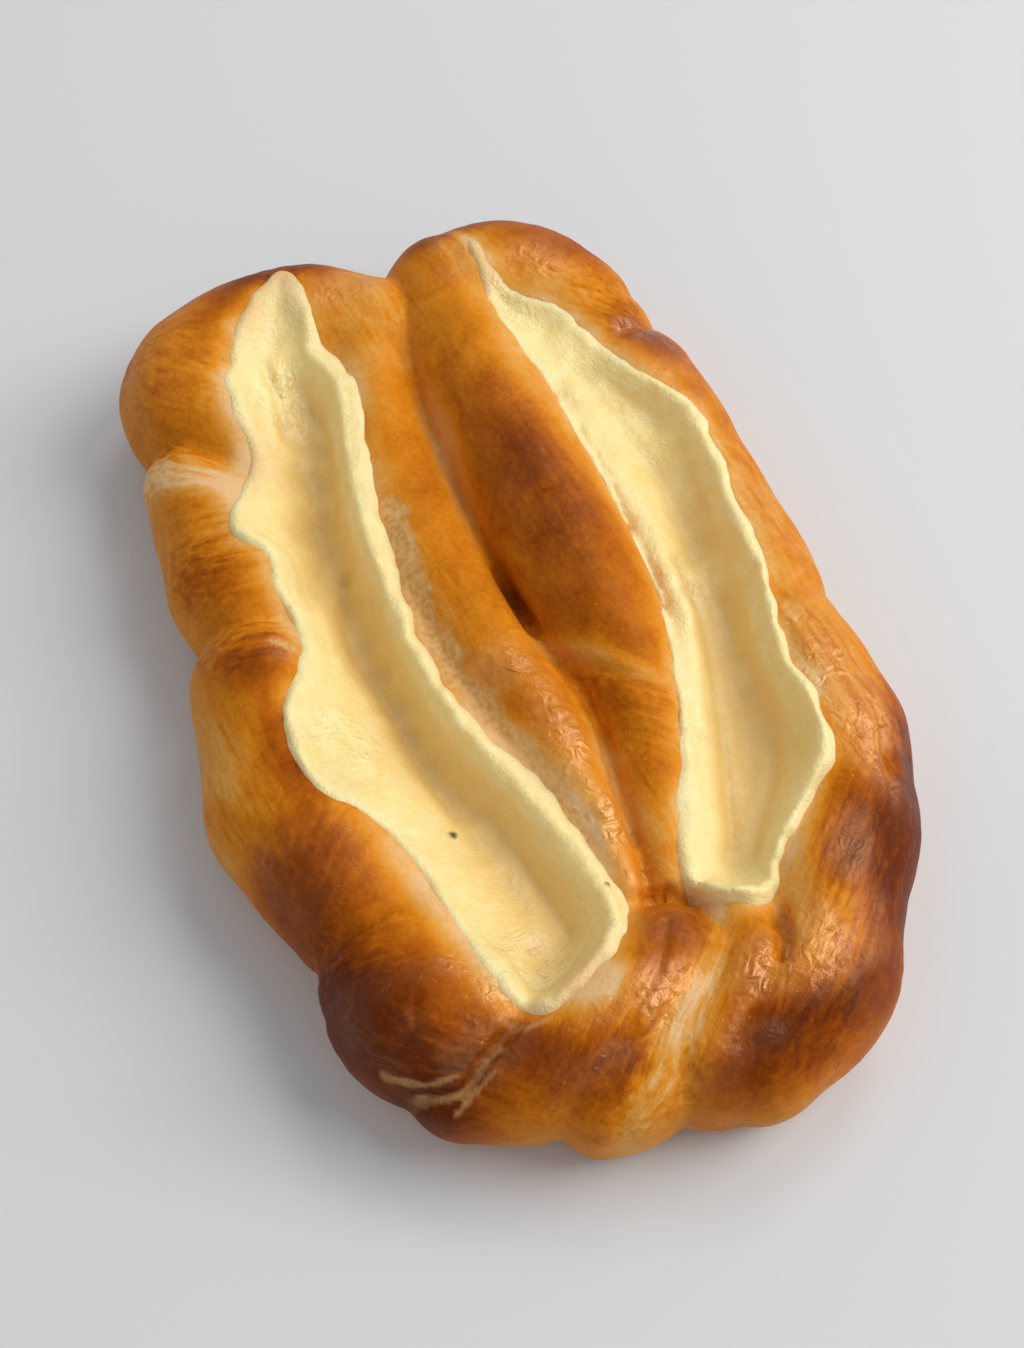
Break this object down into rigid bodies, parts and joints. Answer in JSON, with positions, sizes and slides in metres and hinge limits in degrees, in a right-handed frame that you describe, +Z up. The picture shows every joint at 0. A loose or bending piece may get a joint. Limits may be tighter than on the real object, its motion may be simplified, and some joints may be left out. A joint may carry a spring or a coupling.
{
  "type": "danish pastry",
  "caption": "Oblong sweet pastry: a twisted dough rope bent into a closed pair of spectacles, with a pool of baked custard in each eye.",
  "frame": {"origin": "under the middle of the pastry, on the surface that it rests on", "axes": "+Z up from the flat underside; +Y along the pastry, towards the two round shoulders; +X towards the side of the slimmer custard pool"},
  "size_m": [0.1017, 0.1585, 0.03],
  "materials": {
    "crust": "egg-washed baked crust, deep brown on the crests and pale in the creases, glossy",
    "custard": "baked custard, pale yellow, satin with a fine grain"
  },
  "bodies": {
    "root": {"dough_twist": "crust", "left_filling": "custard", "right_filling": "custard"}
  },
  "joints": []
}
